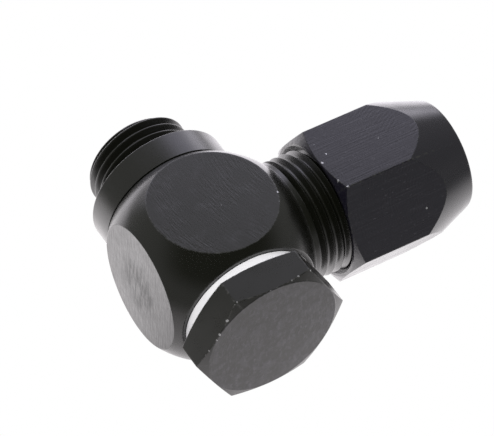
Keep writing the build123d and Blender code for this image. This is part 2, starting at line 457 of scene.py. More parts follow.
# %% [markdown]
# ## From grids to a mesh
#
# A patch is a grid of points, so its faces are known without asking: each point and its three
# neighbours make a quad. A piece is several patches that share their borders. They are joined by
# merging points that lie within 2 thousandths of a millimetre, which also closes seams, shrinks a
# row at the axis to a single point, and drops the faces that have no area there.
# Once the mesh is closed, its normals are turned outwards together. Edges sharper than 40 degrees
# are marked sharp, so that a step in a bore doesn't get the soft shading of a round.

# %% Joining patches into a piece
merge_distance = 2e-6
sharp_angle = math.radians(40)


def grid_faces(rows, columns, first):
    """The quads of a grid whose points are numbered row by row from first."""
    corner = (first + np.arange(rows - 1)[:, None] * columns + np.arange(columns - 1)).ravel()
    return np.stack([corner, corner + 1, corner + columns + 1, corner + columns], axis=1)


def make_piece(name, patches, body, node, caps=()):
    """Joins (points, edge) patches into one closed mesh that rides on a body and replaces a node."""
    points = np.concatenate([patch.reshape(-1, 4) for patch in patches])
    starts = np.cumsum([0] + [patch.shape[0] * patch.shape[1] for patch in patches])
    faces = np.concatenate([
        grid_faces(patch.shape[0], patch.shape[1], start) for patch, start in zip(patches, starts)
    ]).tolist()
    for cap in caps:
        faces.append((len(points) + np.arange(len(cap))).tolist())
        points = np.concatenate([points, cap])
    mesh = bpy.data.meshes.new(name)
    mesh.from_pydata((points[:, :3] / 1000).tolist(), [], faces)
    wear = mesh.attributes.new("edge", "FLOAT", "POINT")
    wear.data.foreach_set("value", points[:, 3].astype(np.float32))
    work = bmesh.new()
    work.from_mesh(mesh)
    bmesh.ops.remove_doubles(work, verts=work.verts, dist=merge_distance)
    bmesh.ops.recalc_face_normals(work, faces=work.faces)
    open_edges = sum(not edge.is_manifold for edge in work.edges)
    work.to_mesh(mesh)
    work.free()
    mesh.polygons.foreach_set("use_smooth", np.ones(len(mesh.polygons), dtype=bool))
    mesh.set_sharp_from_angle(angle=sharp_angle)
    piece = bpy.data.objects.new(name, mesh)
    bpy.context.scene.collection.objects.link(piece)
    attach(piece, body)
    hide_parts(node)
    triangles = sum(len(face.vertices) - 2 for face in mesh.polygons)
    print(f"{name}: {len(mesh.vertices)} points, {triangles} triangles, {open_edges} open edges")
    return piece


print("a grid of 3 by 4 points has", len(grid_faces(3, 4, 0)), "faces")

# %% [markdown]
# ## Washer, collar and seals
#
# These are rings: one closed outline, turned about the bolt. On a lathe the outline never
# changes, so the surface is the outline at every angle. Two rubber seals sit in grooves in the
# collar's faces. They are hidden when the fitting is screwed in, but they are real pieces.
# The same function also turns open outlines, which later make parts of the bigger pieces.
# The washer comes first, because its outline is the simplest.

# %% Turn a profile and make the washer
washer_near = -34.8
washer_far = -33.1
ring_bore = 10.5775
hex_apothem = 13.5
head_face_radius = 13.35
collar_radius = 14.0
collar_start = -6.0
groove_depth = 1.2
groove_inner = 11.539
groove_outer = 13.039
seam_width = 0.27
seam_depth = 0.6
turn_steps = 144
even_turn = np.radians(np.linspace(0, 360, turn_steps + 1))


def turned(axis, profile, angles):
    """The profile's rows (along, radius, edge) carried round the axis: angles down, rows across.

    A profile may be one outline for all angles, or one outline for each angle.
    """
    profile = np.asarray(profile, dtype=float)
    points = axis(profile[..., 0], profile[..., 1], angles[:, None])
    edge = np.broadcast_to(profile[..., 2], points.shape[:-1])
    return np.concatenate([points, edge[..., None]], axis=-1)


def ring(name, outline, radii, node):
    """A closed outline turned about the bolt."""
    profile = rounded(outline, radii, closed=True)
    return make_piece(name, [turned(around_bolt, profile, even_turn)], "stem", node)


washer_outline = [
    (washer_near, ring_bore),
    (washer_near, head_face_radius),
    (washer_far, head_face_radius),
    (washer_far, ring_bore),
]
washer = ring("washer", washer_outline, [0.15, 0.12, 0.12, 0.15], "head_washer")

# %% [markdown]
# ## The collar and its seals
#
# The collar's outline is that of a washer with three cuts: a groove for a seal in each face, and
# a shallow step at the outer edge towards the elbow, which makes the thin dark seam there.

# %% Make the collar and the seals
collar_outline = [
    (collar_start, ring_bore),
    (collar_start, groove_inner),
    (collar_start + groove_depth, groove_inner),
    (collar_start + groove_depth, groove_outer),
    (collar_start, groove_outer),
    (collar_start, collar_radius - seam_depth),
    (collar_start + seam_width, collar_radius - seam_depth),
    (collar_start + seam_width, collar_radius),
    (0, collar_radius),
    (0, groove_outer),
    (-groove_depth, groove_outer),
    (-groove_depth, groove_inner),
    (0, groove_inner),
    (0, ring_bore),
]
collar_round = [0.3, 0.08, 0.1, 0.1, 0.08, 0.05, 0.05, 0.08, 0.22, 0.08, 0.1, 0.1, 0.08, 0.3]
collar = ring("collar", collar_outline, collar_round, "spacer_collar")


def seal(name, start):
    """A rubber ring that fills the groove which starts there along the bolt."""
    end = start + groove_depth
    outline = [(start, groove_inner), (start, groove_outer), (end, groove_outer), (end, groove_inner)]
    return ring(name, outline, 0.3, name)


seals = [seal("body_seal", collar_start), seal("port_seal", -groove_depth)]

# %% [markdown]
# ## Threads
#
# A thread is a ridge that climbs as it goes round. Cut out of a plain grid it would have a jagged
# crest, so here the grid itself is twisted: each row of points follows the thread at one height
# of its flank. A row stands at crest's place + pitch (turn + share + angle / full turn), and its
# share of the pitch and its height come from a short list that repeats every turn. Where a row
# would run past an end of the thread it stops there, and the merging of points removes what is
# left of it.
# At both ends the thread runs out under a cone, so its height is the smaller of the two.
# The port's thread is a pipe thread, whose crests and roots are round: their radius is 0.137 of
# the pitch. The stub's and the nut's is a metric one with narrow crests.

# %% A helical patch
def thread_form(places, heights):
    """One turn of a thread: places are shares of the pitch from crest to root, then mirrored."""
    places, heights = np.array(places), np.array(heights)
    return (
        np.concatenate([places, 1 - places[-2:0:-1]]),
        np.concatenate([heights, heights[-2:0:-1]]),
    )


sharp_form = thread_form(
    [0, 0.014, 0.028, 0.046, 0.14, 0.26, 0.355, 0.385, 0.425, 0.5],
    [1, 0.992, 0.965, 0.915, 0.67, 0.32, 0.07, 0.02, 0.0, 0.0],
)
round_form = thread_form(
    [0, 0.03, 0.06, 0.09, 0.1215, 0.25, 0.3785, 0.41, 0.45, 0.5],
    [1, 0.995, 0.978, 0.947, 0.885, 0.50, 0.115, 0.053, 0.014, 0.0],
)


def thread(axis, angles, form, crest_at, pitch, start, end, root, depth, limit, inside=False):
    """Radius = root + depth x height(phase), with the ridge climbing one pitch a turn.

    The phase is the part after the point of (along - crest_at) / pitch - angle / full turn.
    limit(along) is the cone that the thread runs out under. Inside a nut the ridge points inwards:
    radius = root - depth x height(phase), and limit is the cone that it may not go below.
    """
    station, station_height = form
    station_wear = (station_height > 0.99) * 1.0
    turns = int((end - start) / pitch) + 3
    first = math.floor((start - crest_at) / pitch) - 1
    number = np.arange(turns * len(station))
    height = station_height[number % len(station)]
    crest_wear = station_wear[number % len(station)]
    row = first + number // len(station) + station[number % len(station)]
    along = crest_at + pitch * (row + angles[:, None] / full_turn)
    radius = root - depth * height if inside else root + depth * height
    radius = np.maximum(radius, limit(along)) if inside else np.minimum(radius, limit(along))
    stopped = (along < start) | (along > end)
    along = np.clip(along, start, end)
    radius = np.where(stopped, limit(along), radius)
    points = axis(along, radius, angles[:, None])
    wear = np.where(stopped, 0, crest_wear) * (np.abs(radius - limit(along)) > 0.05)
    return np.concatenate([points, wear[..., None]], axis=-1)


print(len(sharp_form[0]), "rows make one turn of a thread")

# %% [markdown]
# ## Holes through a round wall
#
# The bolt's cross holes and the elbow's hose bore break out through the walls of round bores.
# A Boolean modifier would leave a crown of thin triangles there. Instead, a piece of the wall is
# unrolled into a rectangle, and a grid is stretched from the hole's edge to the rectangle's
# border. The border keeps the points of its neighbours, so the wall stays closed.

# %% A wall with a hole
wall_steps = np.linspace(0, 1, 7)


def pierced_wall(axis, wall, border_angle, border_along, middle_angle, middle, hole, around):
    """A part of a cylinder's wall with a round hole through it, as a grid from hole to border.

    Hole point: along = middle + hole cos(around), sideways = hole sin(around), so its angle is
    middle_angle + arcsin(sideways / wall). The grid runs evenly from there to the border's
    (angle, along) and stays on the wall.
    """
    share = wall_steps[:, None]
    hole_angle = middle_angle + np.arcsin(hole * np.sin(around) / wall)
    hole_along = middle + hole * np.cos(around)
    angle = (1 - share) * hole_angle + share * border_angle
    along = (1 - share) * hole_along + share * border_along
    points = axis(along, wall, angle)
    return np.concatenate([points, np.zeros(points.shape[:-1] + (1,))], axis=-1)


def wall_border(angles, alongs):
    """Once round the rectangle of an unrolled wall, as an array of angles and one of alongs."""
    first, last = angles[0], angles[-1]
    near, far = alongs[0], alongs[-1]
    across = len(angles) - 1
    up = len(alongs) - 1
    angle = [angles[:-1], np.full(up, last), angles[:0:-1], np.full(up, first), [first]]
    along = [np.full(across, near), alongs[:-1], np.full(across, far), alongs[:0:-1], [near]]
    return np.concatenate(angle), np.concatenate(along)


print("a pierced wall has", len(wall_steps), "rows from the hole to its border")

# %% [markdown]
# ## Hexagons
#
# The bolt's head and the nut start as hexagon bar. Seen along the bar, a flat's distance from the
# axis is apothem / cos(angle from the flat's middle), and a small circle rounds each corner.
# The bar's ends are turned to a cone. Where a cone meets a flat, the edge is a curve, the
# scallop that every nut has. Because each angle has its own outline, the outline's corner can
# sit exactly on that curve: at the cone's place for that angle's radius.

# %% The hexagon's radius and its angles
hex_corner_round = 0.22
sixth = math.pi / 3


def from_corner(angles, corner_at):
    """The angle to the nearest of the six corners, one of which is at corner_at."""
    return np.abs((angles - corner_at + sixth / 2) % sixth - sixth / 2)


def hex_radius(angles, corner_at):
    """Distance from the axis to the bar's surface, with the nearest corner's round.

    Off the corner: apothem / cos(30 degrees - a), with a the angle from the corner. On its round:
    d cos(a) + sqrt(r^2 - d^2 sin(a)^2), where d is the distance of the round's centre.
    """
    off = from_corner(angles, corner_at)
    centre = (hex_apothem - hex_corner_round) / math.cos(sixth / 2)
    touch = math.atan2(hex_corner_round / 2, centre + hex_corner_round * math.cos(sixth / 2))
    inside_root = np.maximum(hex_corner_round**2 - (centre * np.sin(off)) ** 2, 0)
    on_round = centre * np.cos(off) + np.sqrt(inside_root)
    return np.where(off < touch, on_round, hex_apothem / np.cos(sixth / 2 - off))


def hex_angles(corner_at):
    """Even steps of 2.5 degrees, with extra ones across each corner's round."""
    corners = corner_at + np.arange(6) * sixth
    near = np.radians([-1.1, -0.42, -0.28, -0.14, 0, 0.14, 0.28, 0.42, 1.1])
    extra = (corners[:, None] + near).ravel() % full_turn
    both = np.concatenate([even_turn, extra])
    return np.unique(np.round(both, 9))


def corner_wear(angles, corner_at):
    """1 on a corner's round and 0 on the flats, for the worn edges between two flats."""
    return np.clip((math.radians(0.6) - from_corner(angles, corner_at)) / math.radians(0.15), 0, 1)


head_corner = math.pi / 6
nut_corner = 0.0
head_angles = hex_angles(head_corner)
nut_angles = hex_angles(nut_corner)
corner_width = 2 * hex_radius(nut_corner, nut_corner)
print("across the rounded corners:", np.round(corner_width, 3), "mm with", len(nut_angles), "angles")

# %% [markdown]
# ## The hollow bolt's head and shank
#
# The bolt is one turned piece: a hexagon head, a shank with a thinner waist, and the port thread.
# It is built as a chain of patches from the middle of the head, over the outside to the thread's
# end, and back down the bore to its drilled point. The first patch runs to the start of the
# waist. Its outline is worked out for each angle, because the head's chamfers meet the flats at
# another place at each angle.

# %% The head and the shank
head_front = -41.45
head_chamfer = math.tan(math.radians(21))
back_chamfer = math.tan(math.radians(18))
shank_radius = 10.45
waist_radius = 8.9
waist_start = -26.55
waist_end = -12.55
waist_fall = shank_radius - waist_radius
bar_margin = 0.05

head_r = hex_radius(head_angles, head_corner)
head_rows = np.zeros((len(head_angles), 8, 2))
head_rows[:, 0] = (head_front, 0)
head_rows[:, 1] = (head_front, head_face_radius)
head_rows[:, 2, 0] = head_front + (head_r - head_face_radius) * head_chamfer
head_rows[:, 2, 1] = head_r
head_rows[:, 3, 0] = washer_near - (head_r - head_face_radius) * back_chamfer
head_rows[:, 3, 1] = head_r
head_rows[:, 4] = (washer_near, head_face_radius)
head_rows[:, 5] = (washer_near, shank_radius)
head_rows[:, 6] = (waist_start, shank_radius)
head_rows[:, 7] = (waist_start + waist_fall, waist_radius)
head_profile = rounded(head_rows, [0, 0.12, 0.14, 0.14, 0.1, 0.1, 0.1, 0])


def wear_corners(profile, angles, corner_at, face_radius):
    """Marks the bar's corners as edges too, where the profile stands out past the end face."""
    on_bar = profile[..., 1] > face_radius + bar_margin
    return np.maximum(profile[..., 2], on_bar * corner_wear(angles, corner_at)[:, None])


head_profile[..., 2] = wear_corners(head_profile, head_angles, head_corner, head_face_radius)
bolt_patches = [turned(around_bolt, head_profile, head_angles)]
print("the head's outline has", head_profile.shape[1], "rows at each of", len(head_angles), "angles")

# %% [markdown]
# ## The bolt's thread and bore
#
# Behind the waist the shank is full again, and falls to a relief under the collar, where the
# thread begins. The thread ends under a chamfer. The bore runs up from there to a drilled point,
# past the waist, where the cross holes come in.

# %% The thread and the bore
relief_radius = 9.1975
relief_fall = -4.5325
relief_start = -3.28
port_radius = 10.4775
port_depth = 1.162
port_pitch = 1.8143
port_crest_at = 5.65
port_end = 8.9
port_chamfer = 1.2
port_runout = -1.28
flow_radius = 6.5
flow_floor = -24.55
flow_tip = -28.456
mouth_chamfer = 0.4

shank_outline = [
    (waist_end - waist_fall, waist_radius),
    (waist_end, shank_radius),
    (relief_fall, shank_radius),
    (relief_start, relief_radius),
    (port_runout, relief_radius),
]
bore_outline = [
    (port_end, port_radius - port_chamfer),
    (port_end, flow_radius + mouth_chamfer),
    (port_end - mouth_chamfer, flow_radius),
    (2 * elbow_y - flow_floor, flow_radius),
]


def port_limit(along):
    """The run-out slope at the thread's start and the chamfer at its end."""
    return np.minimum(
        relief_radius + np.maximum(along - port_runout, 0),
        port_radius - np.maximum(along - (port_end - port_chamfer), 0),
    )


bolt_patches += [
    turned(around_bolt, rounded(shank_outline, [0, 0.1, 0.1, 0.1, 0]), head_angles),
    thread(
        around_bolt, head_angles, round_form, port_crest_at, port_pitch, port_runout, port_end,
        port_radius - port_depth, port_depth, port_limit,
    ),
    turned(around_bolt, rounded(bore_outline, [0, 0.1, 0.1, 0]), head_angles),
    turned(around_bolt, rounded([(flow_floor, flow_radius), (flow_tip, 0)], 0), head_angles),
]
print("the port thread makes", round((port_end - port_runout) / port_pitch, 1), "turns")

# %% [markdown]
# ## The bolt's cross holes
#
# Four holes at the waist let the flow through, one on each side. Each takes a quarter of the
# waist's wall and a quarter of the bore's wall. Both are stretched round the hole, and a short
# tube joins the two hole edges.

# %% Cross holes through the bolt's waist
cross_radius = 3.5
wall_alongs = np.linspace(-1, 1, 19)
quarter = math.pi / 4
walls_and_halves = [
    (waist_radius, elbow_y - waist_start - waist_fall),
    (flow_radius, elbow_y - flow_floor),
]
for middle_angle in np.radians([0, 90, 180, 270]):
    turned_by = (head_angles - middle_angle + math.pi) % full_turn - math.pi
    sector = np.unique(np.round(turned_by[np.abs(turned_by) < quarter + 1e-6], 9))
    border_angle, border_along = wall_border(sector, wall_alongs)
    around = np.arctan2(border_angle / quarter, border_along)
    walls = [
        pierced_wall(
            around_bolt, wall, middle_angle + border_angle, elbow_y + half * border_along,
            middle_angle, elbow_y, cross_radius, around,
        )
        for wall, half in walls_and_halves
    ]
    bolt_patches += walls + [np.stack([walls[0][0], walls[1][0]])]
bolt = make_piece("bolt", bolt_patches, "stem", "banjo_bolt")

# %% [markdown]
# ## The ball of the elbow
#
# The elbow is a turned ball with flats milled on five sides; the sixth carries the threaded stub.
# A ball made of rings has poles, and its rows would cut across the round flats. So the ball is
# made like a die: six cells, one for each side, whose borders meet along the edges of an
# imaginary box. In a cell the grid goes from the middle of its flat, over the flat's rim, to the
# box's edge, so the rows follow the rim exactly and neighbours share their border points.
# First come the ball's sizes and the border that all cells share.

# %% The border of a cell
ball_radius = 19.5
top_flat = 15.25
side_flat = 15.1
port_flat = 13.5
stub_radius = 12.0
cell_box = np.array([15.25, 13.5, 15.25])
side_count = 44
side_steps = np.tan(np.linspace(-math.pi / 4, math.pi / 4, side_count + 1))
cell_rows = np.array([0.16, 0.34, 0.54, 0.76, 1.0])
rim_hold = 0.3


def square_border():
    """Once round the square from -1 to 1, with even angles seen from its middle."""
    ones = np.ones(side_count)
    steps = side_steps[:-1]
    p = np.concatenate([ones, -steps, -ones, steps])
    q = np.concatenate([steps, ones, -steps, -ones])
    return np.append(p, p[0]), np.append(q, q[0])


border_p, border_q = square_border()


def cell_angles(u_axis, v_axis):
    """The angle of each border point of a cell, from its u axis towards its v axis."""
    box_u = np.abs(u_axis @ cell_box)
    box_v = np.abs(v_axis @ cell_box)
    return np.unwrap(np.arctan2(box_v * border_q, box_u * border_p))


print("each cell has", len(border_p) - 1, "points round its border")

# %% [markdown]
# ## The ball's six cells
#
# The top and bottom flats are alike, and the left flat lies a little closer in. The two sides on
# the bolt's axis are flat seats with the bolt's bore in them, and the sixth side ends where the
# stub starts. So one function makes every cell, from the outline inside its rim.

# %% Six cells of a ball
def ball_cell(u, v, inner, flat, round_radius):
    """A cell of the ball: inner profile of (height, radius), the flat's rim, then the sphere.

    The cell faces the way of u x v. Each of its points is centre + height out + radius sideways.
    On the sphere the angle from the cell's axis goes from the rim's to the border's, where
    tan(border angle) = distance of the box's edge point / height of the box's face.
    """
    u_axis = np.array(u, dtype=float)
    v_axis = np.array(v, dtype=float)
    out_axis = np.cross(u_axis, v_axis)
    angle = cell_angles(u_axis, v_axis)
    reach = np.hypot(np.abs(u_axis @ cell_box) * border_p, np.abs(v_axis @ cell_box) * border_q)
    border_tilt = np.arctan2(reach, np.abs(out_axis @ cell_box))[:, None]
    rim_tilt = math.acos(flat / ball_radius)
    hold_tilt = rim_tilt + rim_hold / ball_radius
    rim = (flat, ball_radius * math.sin(rim_tilt))
    held = (ball_radius * math.cos(hold_tilt), ball_radius * math.sin(hold_tilt))
    flat_rows = rounded(inner + [rim, held], [0, *round_radius, 0])
    flat_rows = np.broadcast_to(flat_rows, (len(angle),) + flat_rows.shape)
    tilt = hold_tilt + cell_rows * (border_tilt - hold_tilt)
    sphere = np.stack([ball_radius * np.cos(tilt), ball_radius * np.sin(tilt), 0 * tilt], axis=-1)
    rows = np.concatenate([flat_rows, sphere], axis=1)
    sideways = np.cos(angle)[:, None, None] * u_axis + np.sin(angle)[:, None, None] * v_axis
    points = elbow_centre + rows[..., :1] * out_axis + rows[..., 1:2] * sideways
    return np.concatenate([points, rows[..., 2:]], axis=-1)


bolt_bore = 10.5275
bore_edge = 0.4
flat_middle = 8.0
stub_foot = math.sqrt(ball_radius**2 - stub_radius**2)
stub_rise = stub_foot + 0.3
x_way = (1, 0, 0)
y_way = (0, 1, 0)
z_way = (0, 0, 1)
top = [(top_flat, 0), (top_flat, flat_middle)]
left = [(side_flat, 0), (side_flat, flat_middle)]
seat = [(port_flat - bore_edge, bolt_bore), (port_flat, bolt_bore + bore_edge)]
elbow_patches = [
    ball_cell(x_way, y_way, top, top_flat, [0, 0.3]),
    ball_cell(y_way, x_way, top, top_flat, [0, 0.3]),
    ball_cell(z_way, y_way, left, side_flat, [0, 0.3]),
    ball_cell(z_way, x_way, seat, port_flat, [0.15, 0.15]),
    ball_cell(x_way, z_way, seat, port_flat, [0.15, 1.3]),
    ball_cell(y_way, z_way, [(stub_rise, stub_radius)], stub_foot, [0.2]),
]
print("stub's foot at", round(stub_foot, 3), "mm from the bolt's axis")

# %% [markdown]
# ## The stub and the tail
#
# The stub's thread starts beyond a short shoulder at the ball and ends under a chamfer. Behind it
# comes the barbed tail that the hose is pushed over: each barb rises steeply on the side that
# holds the hose and falls gently the other way. The outline turns in at the tail's tip and runs
# back down its bore.

# %% The stub's thread and the barbed tail
stub_root = 11.0
stub_pitch = 1.75
stub_depth = 1.0
stub_crest_at = 16.98
stub_chamfer = 1.0
shoulder_end = 16.25
stub_end = 32.0
tail_radius = 6.4
tail_tip = 6.0
tail_bore = 5.2
tail_start = 12.0
tail_end = 44.6
barb_radius = 7.0
barb_pitch = 2.6
barb_start = 0.65
barb_top = 0.5
barb_count = 4
stub_angles = cell_angles(np.array(y_way), np.array(z_way))


def stub_limit(along):
    """The thread's outside, less the chamfer at the stub's end."""
    return stub_radius - np.maximum(along - (stub_end - stub_chamfer), 0)


barb = np.array([
    (barb_start, tail_radius),
    (barb_start, barb_radius),
    (barb_start + barb_top, barb_radius),
    (barb_pitch, tail_radius),
])
barb_places = stub_end + barb_pitch * np.arange(barb_count)
barbs = barb + np.stack([barb_places, 0 * barb_places], axis=-1)[:, None]
tail_outline = [
    (stub_end, stub_root),
    (stub_end, tail_radius),
    *barbs.reshape(-1, 2),
    (tail_end, tail_tip),
    (tail_end, tail_bore + mouth_chamfer),
    (tail_end - mouth_chamfer, tail_bore),
    (tail_start, tail_bore),
]
tail_round = [0, 0.15] + [0.08, 0.08, 0.12, 0.08] * barb_count + [0.25, 0.1, 0.1, 0]
tail = turned(around_hose, rounded(tail_outline, tail_round), stub_angles)
shoulder = rounded([(stub_rise, stub_radius), (shoulder_end, stub_radius)], 0)
elbow_patches += [
    turned(around_hose, shoulder, stub_angles),
    thread(
        around_hose, stub_angles, sharp_form, stub_crest_at, stub_pitch, shoulder_end, stub_end,
        stub_root, stub_depth, stub_limit,
    ),
    tail,
]
print("the tail has", barb_count, "barbs and", tail.shape[1], "rows")

# %% [markdown]
# ## The elbow's bores
#
# The bolt's bore is a plain tube, but one quarter of its wall is pierced where the tail's bore
# comes in. That quarter is stretched round the hole, and a last row of faces carries the tail's
# bore on to the hole's edge.

# %% Join the bores and make the elbow
bore_half = port_flat - bore_edge
bore_wall = pierced_wall(
    around_bolt, bolt_bore, math.pi / 2 - np.arctan(border_q), elbow_y + bore_half * border_p,
    math.pi / 2, elbow_y, tail_bore, -stub_angles,
)
bore_alongs = elbow_y + bore_half * side_steps
bore_profile = np.stack([bore_alongs, 0 * bore_alongs + bolt_bore, 0 * bore_alongs], axis=-1)
bore_angles = np.radians(np.linspace(135, 405, 3 * side_count + 1))
elbow_patches += [
    np.stack([tail[:, -1], bore_wall[0]], axis=1),
    bore_wall,
    turned(around_bolt, bore_profile, bore_angles),
]
elbow = make_piece("elbow", elbow_patches, "elbow", "swivel_body")

# %% [markdown]
# ## The compression nut
#
# The long nut is hexagon bar, turned to a chamfer at one end and to a long cone at the other,
# with the stub's thread inside. The cone cuts the six flats in deep scallops, which are what
# gives this nut its look. Its outline runs from the thread over the outside and back into the
# bore, one outline for each angle, and the inner thread closes it.

# %% The nut's outline
nut_face = 22.7
nut_end = 50.55
nut_face_radius = 13.4
nut_end_radius = 10.95
nut_bore = 12.05
nut_chamfer = math.tan(math.radians(30))
nut_cone = math.tan(math.radians(20))
hose_radius = 9.15
entry_start = 45.5
grip_start = 35.6
grip_wide = 11.766
grip_narrow = 9.661
thread_stop = 35.5
lead_in = 0.8

nut_r = hex_radius(nut_angles, nut_corner)
nut_rows = np.zeros((len(nut_angles), 11, 2))
nut_rows[:, 0] = (nut_face + lead_in, nut_bore)
nut_rows[:, 1] = (nut_face, nut_bore + lead_in)
nut_rows[:, 2] = (nut_face, nut_face_radius)
nut_rows[:, 3, 0] = nut_face + (nut_r - nut_face_radius) * nut_chamfer
nut_rows[:, 3, 1] = nut_r
nut_rows[:, 4, 0] = nut_end - (nut_r - nut_end_radius) / nut_cone
nut_rows[:, 4, 1] = nut_r
nut_rows[:, 5] = (nut_end, nut_end_radius)
nut_rows[:, 6] = (nut_end, hose_radius)
nut_rows[:, 7] = (entry_start, hose_radius)
nut_rows[:, 8] = (entry_start, grip_narrow)
nut_rows[:, 9] = (grip_start, grip_wide)
nut_rows[:, 10] = (thread_stop, nut_bore)
nut_profile = rounded(nut_rows, [0, 0.1, 0.1, 0.12, 0.25, 0.5, 0.8, 0.1, 0.1, 0.05, 0])
nut_profile[..., 2] = wear_corners(nut_profile, nut_angles, nut_corner, nut_face_radius)
print("the nut's cone is", round(nut_end - nut_rows[0, 4, 0], 2), "mm long at a corner")

# %% [markdown]
# ## The nut's thread
#
# The nut's thread has the stub's pitch and starts at the same crest, so the two ridges lie in
# each other's grooves at every place that the nut can turn to.

# %% Make the nut
def nut_limit(along):
    """The lead-in's cone, carried on down to the thread's crest, and the same at the far end."""
    return nut_bore - np.maximum(np.minimum(along - nut_face - lead_in, thread_stop - along), 0)


nut_patches = [
    turned(around_hose, nut_profile, nut_angles),
    thread(
        around_hose, nut_angles, sharp_form, stub_crest_at, stub_pitch, nut_face + lead_in,
        thread_stop, nut_bore, stub_depth, nut_limit, inside=True,
    ),
]
nut = make_piece("nut", nut_patches, "nut", "compression_nut")

# %% [markdown]
# ## The clamp ring
#
# Inside the nut sits a split ring of black plastic. The nut's inner cone squeezes its slit shut
# and presses its teeth into the hose. It is an outline turned not quite all the way round: the
# slit's two faces are parallel, so the angle where they start depends on the radius, as
# arcsin(half the slit / radius). The two ends are closed with the outline itself.

# %% Make the clamp ring
clamp_start = 35.6
clamp_end = 44.2
clamp_bore = 9.1
clamp_wide = 11.404
clamp_narrow = 9.876
clamp_lead = 0.3
clamp_lead_radius = 11.64
half_slit = 1.0
tooth_pitch = 2.0
tooth_depth = 0.45
tooth_count = 4
tooth_tips = clamp_end - clamp_lead - tooth_pitch * np.arange(tooth_count)
teeth = np.stack([
    np.stack([tooth_tips, 0 * tooth_tips + clamp_bore], axis=-1),
    np.stack([tooth_tips - tooth_pitch, 0 * tooth_tips + clamp_bore + tooth_depth], axis=-1),
], axis=1)
clamp_outline = [
    (clamp_start, clamp_bore),
    (clamp_start, clamp_wide),
    (clamp_start + clamp_lead, clamp_lead_radius),
    (clamp_end, clamp_narrow),
    (clamp_end, clamp_bore),
    *teeth.reshape(-1, 2),
]
clamp_round = [0.05, 0.1, 0.1, 0.15, 0.1] + [0.04, 0.04] * tooth_count
clamp_profile = rounded(clamp_outline, clamp_round, closed=True)
slit_angle = np.arcsin(half_slit / clamp_profile[:, 1])
sweep = np.linspace(0, 1, turn_steps + 1)[:, None]
clamp_angles = math.pi / 2 + slit_angle + sweep * (full_turn - 2 * slit_angle)
clamp_points = around_hose(clamp_profile[:, 0], clamp_profile[:, 1], clamp_angles)
clamp_edge = np.broadcast_to(clamp_profile[:, 2], clamp_points.shape[:-1])
clamp_patch = np.concatenate([clamp_points, clamp_edge[..., None]], axis=-1)
clamp_ends = [clamp_patch[0, :-1], clamp_patch[-1, :-1]]
clamp = make_piece("clamp", [clamp_patch], "clamp", "clamp_ring", caps=clamp_ends)

# %% [markdown]
# ## Black anodised aluminium
#
# Anodising grows a hard, dyed oxide skin on the metal. It looks like a dark glossy stone rather
# than metal: a mirror-like skin of a high refractive index over a nearly black ground. So the
# finish is a Principled shader with an IOR of 1.75, and Metallic is 0 except in the chips.
# What makes it look machined is underneath: the skin copies every tool mark. Each piece gets its
# own marks, rings where it was turned and passes where it was milled, as a height for the Bump
# node, and the same marks make the roughness uneven. Fingers and handling leave soft smudges.
# Where an edge was knocked, the skin chips and bare aluminium shines through. The edge number
# that was stored with each point says where that may happen.

# %% The finish's common parts
anodise_black = (0.0040, 0.0042, 0.0026, 1)
anodise_blue_black = (0.0060, 0.0052, 0.0105, 1)
anodise_worn = (0.025, 0.025, 0.024, 1)
anodise_rubbed = (0.050, 0.049, 0.047, 1)
anodise_haze = (0.060, 0.058, 0.070, 1)
aluminium = (0.80, 0.80, 0.82, 1)
anodise_ior = 1.75
micron = 1e-6


def noise(place, size, stretch=(1, 1, 1), detail=2.0, rough=0.5):
    """Noise whose grains are about size mm, longer along the axes where stretch is small."""
    scaled = place.vector("MULTIPLY", tuple(1000 / size * share for share in stretch))
    return place.node(
        "TexNoise", None, {"Vector": scaled, "Scale": 1.0, "Detail": detail, "Roughness": rough}
    )


def from_axis(place, axis):
    """Distance in metres from the bolt's axis or the hose's, and the place along it."""
    centred = place.vector("SUBTRACT", tuple(elbow_centre / 1000))
    keep = (1, 0, 1) if axis == "bolt" else (0, 1, 1)
    flat = centred.vector("MULTIPLY", keep)
    return flat.vector("LENGTH"), centred.axis(1 if axis == "bolt" else 0)


def lines(distance, spacing, shake):
    """Ridges a spacing of mm apart along a distance, moved by shake in metres; from 0 to 1."""
    phase = (distance + shake) * (full_turn * 1000 / spacing)
    return phase.maths("SINE") * 0.5 + 0.5


print("black anodising mirrors like a stone with an IOR of", anodise_ior)

# %% [markdown]
# ## Chips and the whole finish
#
# A chip is a small ragged spot. Its distance from a point makes it round, and noise that moves
# the place a little before the distance is taken makes it ragged. The same colour, roughness and
# bump then serve every anodised piece, and only the marks and the chips differ.

# %% The anodised finish
chip_shake = 0.0006
chip_outer = 0.00026
chip_inner = 0.00018
chip_grain = 4500


def spots(place, points):
    """1 inside small ragged spots: each point is x, y and z in mm, then its size as a factor."""
    scaled = place.vector("MULTIPLY", (chip_grain, chip_grain, chip_grain))
    ragged = place.node("TexNoise", None, {"Vector": scaled, "Scale": 1.0, "Detail": 1.0}, out=1)
    moved = ragged.vector("MULTIPLY_ADD", (chip_shake, chip_shake, chip_shake), place)
    total = None
    for *point, size in points:
        at = tuple(np.array(point) / 1000 + chip_shake / 2)
        spot = moved.vector("DISTANCE", at).rise(size * chip_outer, size * chip_inner)
        total = spot if total is None else total.maths("MAXIMUM", spot)
    return total


